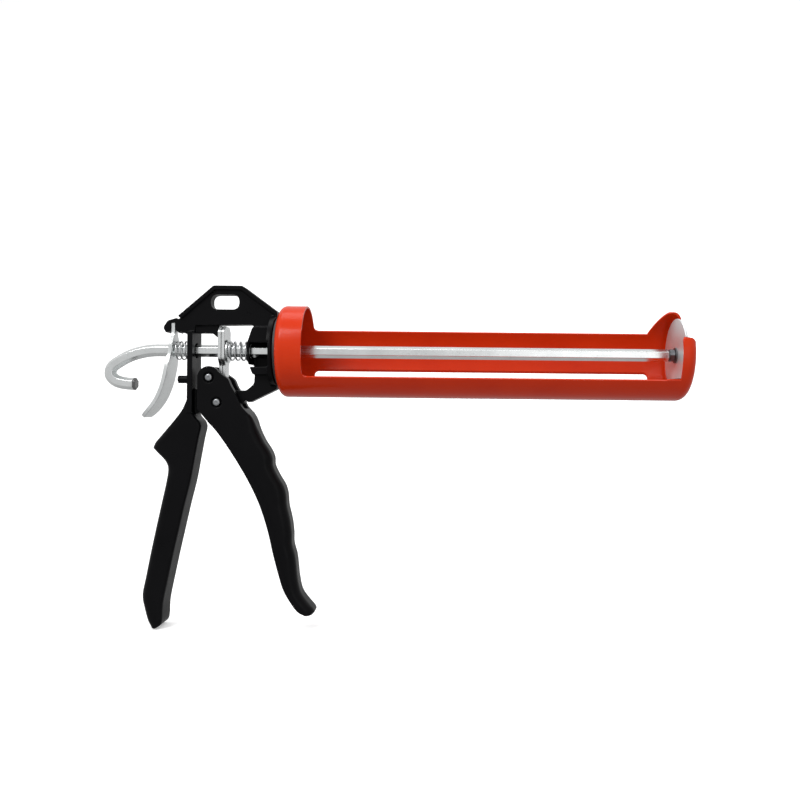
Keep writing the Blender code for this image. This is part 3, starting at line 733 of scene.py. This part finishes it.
# ============================================================ pieces: the cradle
def make_cradle():
    ro, ri = CRADLE_R, CRADLE_R - SHEET
    rear, front = 4.0, CAP_FILLET
    k = 12
    prof = [(6.0, CAP_X)]
    prof += [(ro - front + front * math.sin(t), CAP_X - front + front * math.cos(t))
             for t in [math.pi / 2 * i / k for i in range(k + 1)]]
    prof += [(ro - rear + rear * math.cos(t), RING_REAR_X + rear - rear * math.sin(t))
             for t in [math.pi / 2 * i / k for i in range(k + 1)]]
    prof += [(PLATE_HOLE_R, RING_REAR_X), (PLATE_HOLE_R, RING_REAR_X + SHEET)]
    rr = rear - SHEET
    prof += [(ri - rr + rr * math.sin(t), RING_REAR_X + SHEET + rr - rr * math.cos(t))
             for t in [math.pi / 2 * i / k for i in range(k + 1)]]
    rf = front - SHEET
    prof += [(ri - rf + rf * math.cos(t), CAP_X - SHEET - rf + rf * math.sin(t))
             for t in [math.pi / 2 * i / k for i in range(k + 1)]]
    prof += [(6.0, CAP_X - SHEET)]
    o = turned("cradle_shell", prof, 160)
    turn = Matrix.Rotation(math.radians(RAIL_TURN), 4, "X")
    over_rails = rounded([(RING_FRONT_X, 45), (RING_FRONT_X, RAIL_EDGE_H), (-9.8, RAIL_EDGE_H), (-9.8, 45)],
                         [0, 3.0, 0, 0], 8)
    rails = side_plate("opening", over_rails, 45)
    rails.data.transform(turn)
    o = combine(o, rails, "DIFFERENCE")
    over_ears = rounded([(-11.5, 45), (-11.5, 1.6), (-9.9, 1.6), (-1.6, EAR_H), (9.0, EAR_H), (9.0, 45)],
                        [0, 0, 0.8, 2.0, 0, 0], 8)
    o = combine(o, side_plate("ears", over_ears, 45), "DIFFERENCE")
    # the near ear is a narrow upright strip
    o = combine(o, block("near_ear", (-10.6, -45.0, -1.85), (-2.2, -5.0, 45.0)), "DIFFERENCE")
    w = rounded([(-215.0, -WINDOW_HALF), (-9.5, -WINDOW_HALF), (-9.5, WINDOW_HALF), (-215.0, WINDOW_HALF)], 2.5, 8)
    m = Matrix(((1, 0, 0, DX * MM), (0, 1, 0, 0), (0, 0, 1, -0.030), (0, 0, 0, 1)))
    under = curve_plate("window", [w], 20.0, m)
    under.data.transform(turn)
    o = combine(o, under, "DIFFERENCE")
    notch = [(18.0, 45.0), (17.0, EAR_H), (NOTCH_R, 3.0)] + arc(0, 0, NOTCH_R, 0, -180, 40) \
        + [(-NOTCH_R, 3.0), (-17.0, EAR_H), (-18.0, 45.0)]
    o = combine(o, front_plate("notch", notch, -0.2, 9.0), "DIFFERENCE", 2e-5)
    o = bevel(o, 0.22, 2, 50)
    o.data.transform(Matrix.Rotation(math.radians(CRADLE_TILT), 4, "X"))
    return put(o, RED, "cradle", "red_enamel", "cradle", angle=40)


# ============================================================ pieces: the rod
def hook_line():
    bend = smooth_line([(-299.5, 0.0), (-306.5, -0.1), (-313.2, -1.1), (-320.0, -3.2), (-326.0, -6.4),
                        (-331.0, -10.2), (-331.8, -14.8), (-328.4, -18.2), (-323.0, -19.6), (-316.4, -20.0)], 10)
    return [(ROD_FRONT_X, 0.0), (-60.0, 0.0), (-120.0, 0.0), (-180.0, 0.0), (-240.0, 0.0), (-296.5, 0.0)] + bend


def hexagon(af, soft, steps=3):
    """Hexagonal section with a corner up, as (side, up) pairs."""
    r = af / 2 / math.cos(math.radians(30))
    return rounded([(r * math.sin(math.radians(60 * i)), r * math.cos(math.radians(60 * i))) for i in range(6)],
                   soft, steps)


def make_rod():
    pts = [Vector((x, 0, z)) for x, z in hook_line()]
    sec = hexagon(ROD_AF, 0.45)
    rings = []

    def section(p, d, k):
        d = d.normalized()
        up = Vector((-d.z, 0, d.x)) * (-1 if d.x < 0 else 1)
        up = Vector((0, 1, 0)).cross(d)
        return [tuple(p + Vector((0, 1, 0)) * a * k + up * b * k) for a, b in sec]
    for i, p in enumerate(pts):
        d = pts[min(i + 1, len(pts) - 1)] - pts[max(i - 1, 0)]
        if i == 0:
            rings.append(section(p, d, 0.86))
            p = p + Vector((-0.5, 0, 0))
        if i == len(pts) - 1:
            rings.append(section(p - d.normalized() * 0.5, d, 1.0))
            rings.append(section(p, d, 0.84))
        else:
            rings.append(section(p, d, 1.0))
    o = loft("rod_bar", rings)
    th = []
    for i in range(0, 9):
        x = ROD_FRONT_X + 0.05 + 0.5 * i
        if x > 1.0:
            break
        th += [(2.0, x), (1.78, x + 0.25)]
    neck = turned("thread", [(0, ROD_FRONT_X - 1.0), (1.7, ROD_FRONT_X - 1.0)] + th + [(2.0, 1.4), (1.8, 1.9), (0, 1.9)], 48)
    return put(join("rod_bar", [o, neck]), ROD, "rod", "plated_rod", "push_rod", angle=28)


def make_plunger():
    x = PLUNGER_X
    r = PLUNGER_R
    prof = [(0, x), (19.4, x), (20.3, x - 0.06), (20.9, x - 0.28), (r - 0.15, x - 0.62), (r, x - 0.95), (r, x - 1.45),
            (r - 0.12, x - 1.68), (r - 0.4, x - 1.8), (8.2, x - 1.8), (7.8, x - 1.72), (2.3, x - 1.72),
            (2.2, x - 1.6), (2.2, x - 0.8), (0, x - 0.8)]
    return put(turned("plunger_plate", prof, 160), DISC, "rod", "plated_plunger", "plunger_disc", angle=30)


def make_nut():
    """Hexagonal nut with both ends chamfered."""
    rc = 4.04
    x0, x1 = -2.8, 0.2
    af = rc * math.cos(math.radians(30))
    steps = 72
    rings = []
    for x, lim in ((x0, af * 0.98), (x0 + 0.45, rc), (x1 - 0.45, rc), (x1, af * 0.98)):
        r = []
        for k in range(steps):
            a = 2 * math.pi * k / steps
            b = ((a + math.pi / 6) % (math.pi / 3)) - math.pi / 6
            r.append((x, min(af / math.cos(b), lim) * math.sin(a), min(af / math.cos(b), lim) * math.cos(a)))
        rings.append(r)
    inner = [[(x, 2.2 * math.sin(2 * math.pi * k / steps), 2.2 * math.cos(2 * math.pi * k / steps))
              for k in range(steps)] for x in (x1, x0)]
    o = loft("rod_nut", rings + inner + [rings[0]], False)
    bm = bmesh.new()
    bm.from_mesh(o.data)
    bmesh.ops.remove_doubles(bm, verts=bm.verts[:], dist=1e-7)
    bmesh.ops.recalc_face_normals(bm, faces=bm.faces[:])
    bm.to_mesh(o.data)
    bm.free()
    return put(o, DARK, "rod", "dark_steel", "plunger_nut", angle=25)


# ============================================================ pieces: drive and release
def make_plates():
    half = [(4.0, 14.2), (7.2, 11.4), (7.2, -4.5), (3.8, -8.5), (3.8, -18.0)]
    face = rounded(half + [(-y, z) for y, z in half[::-1]], [1.2, 1.5, 2, 2, 1.0, 1.0, 2, 2, 1.5, 1.2], 6)
    hole = arc(0, 0, 4.15, 0, 360, 48)[:-1]
    for name, x0 in (("drive_plate_rear", PLATE_X), ("drive_plate_front", PLATE_X + PLATE_T + 0.3)):
        o = front_plate(name + "_pressing", face, x0, x0 + PLATE_T, 0.22, 2, [hole])
        put(o, ZINC, "drive", "zinc_steel", name)
    wx = PLATE_X + 2 * PLATE_T + 0.6
    put(ring("spring_seat", 4.2, 6.8, wx, wx + 0.8), ZINC, "drive", "zinc_steel", "spring_washer")
    s0, s1 = wx + 0.8, -250.5
    spring = coil("main_spring_wire", 5.4, 0.55, s0 + 0.3 + 0.55, s1 - 0.55, 4.0)
    put(spring, SPRING, "frame", "spring_steel", "main_spring", angle=50, weighted=False)
    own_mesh(spring)


def make_lever():
    """The bent release lever: a strip swept along its bend, as wide as its face outline."""
    mid = smooth_line([(-294.45, 15.9), (-294.45, 9.0), (-294.7, 2.5), (-295.7, -5.0), (-297.2, -13.5),
                       (-299.0, -21.0), (-302.2, -28.6), (-306.4, -34.6), (-310.6, -39.0)], 10)
    face = smooth_line([(3.0, 17.5), (3.0, 10.0), (4.4, 7.6), (6.6, 4.6), (6.9, 0.5), (7.2, -3.0), (8.6, -7.4),
                        (9.0, -11.0), (9.0, -22.0), (9.0, -33.6), (8.7, -35.6), (7.9, -37.4), (6.4, -38.7),
                        (3.8, -39.4), (0.6, -39.7)], 4)
    half = 1.1
    e = 0.32
    rings = []
    n = len(mid)
    for i, (x, z) in enumerate(mid):
        a = Vector(mid[max(0, i - 1)])
        b = Vector(mid[min(n - 1, i + 1)])
        d = (b - a).normalized()
        nr = Vector((-d.y, d.x))
        w = max(0.5, at_height([(f, g) for f, g in face], z))
        t = half if 0 < i < n - 1 else half - e
        sec = [(-w, -t + e), (-w + e * 0.3, -t + e * 0.3), (-w + e, -t), (w - e, -t), (w - e * 0.3, -t + e * 0.3), (w, -t + e),
               (w, t - e), (w - e * 0.3, t - e * 0.3), (w - e, t), (-w + e, t), (-w + e * 0.3, t - e * 0.3), (-w, t - e)]
        rings.append([(x + nr.x * q, y, z + nr.y * q) for y, q in sec])
    o = loft("thumb_lever", rings)
    o = combine(o, rod_of("hole", 4.4, (-303.0, 0, 0), (-288.0, 0, 0), 48), "DIFFERENCE")
    put(o, LEVER, "lever", "plated_lever", "release_lever", angle=40)
    spring = coil("release_spring_wire", 5.3, 0.45, -292.3, -285.2, 3.5)
    put(spring, SPRING, "frame", "spring_steel", "release_spring", angle=50, weighted=False)
    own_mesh(spring)


def make_pins():
    for name, node, (x, z), body in (("pivot_pin", "trigger_pivot_pin", PIVOT, "frame"),
                                     ("cam_pin", "roller_pin", ROLLER, "trigger")):
        h = 9.9
        prof = [(0, h - 0.22), (0.45, h - 0.20), (0.65, h - 0.02), (1.2, h), (1.65, h - 0.12), (1.95, h - 0.38), (PIN_R, h - 0.75)]
        prof = prof + [(r, -y) for r, y in prof[::-1]]
        put(turned(name, prof, 64, (x, 0, z), "Y"), PIN, body, "zinc_steel", node)
    e = 0.3
    prof = [(ROLLER_R - e, 4.0), (ROLLER_R, 4.0 - e), (ROLLER_R, -4.0 + e), (ROLLER_R - e, -4.0),
            (PIN_R + 0.3, -4.0), (PIN_R + 0.3, 4.0)]
    put(turned("cam_roller", prof, 72, (ROLLER[0], 0, ROLLER[1]), "Y"), DARK, "trigger", "dark_steel", "drive_roller")


def make_small():
    put(ring("rod_washer", 2.2, 4.6, 0.3, 0.9, 64), DARK, "rod", "dark_steel", "plunger_washer")
    put(ring("bearing_washer", 11.4, 20.0, -232.9, -231.3, 128), NYLON, "frame", "black_nylon", "thrust_washer")
    put(ring("spring_ring", 11.4, 15.0, -229.4, -228.7, 128), ZINC, "frame", "zinc_steel", "wave_washer")
    put(ring("back_washer", 11.4, 16.0, -228.4, -227.5, 128), ZINC, "frame", "zinc_steel", "retaining_washer")
    outer = arc(0, 0, 13.4, -64, 244, 90)
    inner = arc(0, 0, 10.3, 244, -64, 90)
    put(front_plate("snap_ring", rounded(outer + inner, 0.0), -227.2, -226.2, 0.12, 1), DARK, "frame", "dark_steel",
        "circlip")


make_frame()
make_trigger()
make_cradle()
make_rod()
make_plunger()
make_nut()
make_plates()
make_lever()
make_pins()
make_small()


# ============================================================ stage
def make_stage(floor_z):
    """A plain pale floor that curves up into a backdrop, behind the object only."""
    pts = [(-3.0, 0.0), (1.4, 0.0)] + [(1.4 + 1.2 * math.sin(t), 1.2 - 1.2 * math.cos(t))
                                       for t in [math.pi / 2 * i / 16 for i in range(1, 17)]] + [(2.6, 4.0)]
    bm = bmesh.new()
    rows = [[bm.verts.new((x, y, floor_z + z)) for x in (-5.0, 5.0)] for y, z in pts]
    for a, b in zip(rows, rows[1:]):
        bm.faces.new((a[0], a[1], b[1], b[0]))
    o = mesh_object("backdrop", bm)
    o.data.shade_smooth()
    n = Nodes("backdrop_paper", (0.86, 0.86, 0.86), 0.9, 0.0)
    tone = n.mix(n.noise(n.coord, 3.0, 2.0), (0.90, 0.90, 0.90), (0.93, 0.93, 0.93))
    n.to(tone, n.b.inputs["Base Color"])
    n.bump(n.noise(n.coord, 900.0, 2.0), 0.0001, 0.05)
    n.b.inputs["Emission Color"].default_value = (1, 1, 1, 1)
    n.b.inputs["Emission Strength"].default_value = 0.34
    o.data.materials.append(n.m)
    o.visible_glossy = False
    o.visible_diffuse = False
    return o


def lamp(name, place, target, size, power, colour=(1, 1, 1)):
    d = bpy.data.lights.new(name, "AREA")
    d.shape = "RECTANGLE"
    d.size, d.size_y = size
    d.energy = power
    d.color = colour
    o = link(bpy.data.objects.new(name, d))
    o.location = place
    o.rotation_euler = (Vector(target) - Vector(place)).to_track_quat("-Z", "Y").to_euler()
    return o


lo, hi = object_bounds()
make_stage(lo.z - 0.0006)
mid = (lo + hi) / 2
aim = (mid.x, 0, 0)
lamp("key", (mid.x - 0.55, -0.80, 0.85), aim, (0.6, 0.5), 8.5)
lamp("fill", (mid.x + 0.50, -1.30, 0.10), aim, (0.7, 0.7), 1.1)
lamp("top", (mid.x, 0.15, 1.15), aim, (1.2, 0.5), 5.0)
lamp("back", (mid.x + 0.1, 1.2, 0.9), (mid.x, 2.2, 0.2), (1.8, 0.9), 12.0)

world = bpy.data.worlds.new("studio")
world.use_nodes = True
bg = world.node_tree.nodes["Background"]
sky = world.node_tree.nodes.new("ShaderNodeTexCoord")
split = world.node_tree.nodes.new("ShaderNodeSeparateXYZ")
world.node_tree.links.new(sky.outputs["Generated"], split.inputs[0])
ramp = world.node_tree.nodes.new("ShaderNodeMapRange")
for name, v in (("From Min", -0.75), ("From Max", 0.45), ("To Min", 0.46), ("To Max", 0.78)):
    ramp.inputs[name].default_value = v
world.node_tree.links.new(split.outputs[2], ramp.inputs["Value"])
world.node_tree.links.new(ramp.outputs["Result"], bg.inputs["Color"])
bg.inputs["Strength"].default_value = 1.0
bpy.context.scene.world = world
bpy.context.scene.view_settings.view_transform = "Standard"
bpy.context.scene.view_settings.look = "None"

cam = bpy.data.cameras.new("camera")
cam.sensor_width = 36.0
cam.lens = 35.47
cam.shift_x = -0.0475
cam.clip_start = 0.01
cam.clip_end = 20.0
camera = link(bpy.data.objects.new("camera", cam))
camera.matrix_world = Matrix.Translation(Vector(((-138.7 + DX) * MM, -0.465, -0.0276))) \
    @ Matrix.Rotation(math.radians(90), 4, "X") @ Matrix.Rotation(0.0102, 4, "Z")
bpy.context.scene.camera = camera
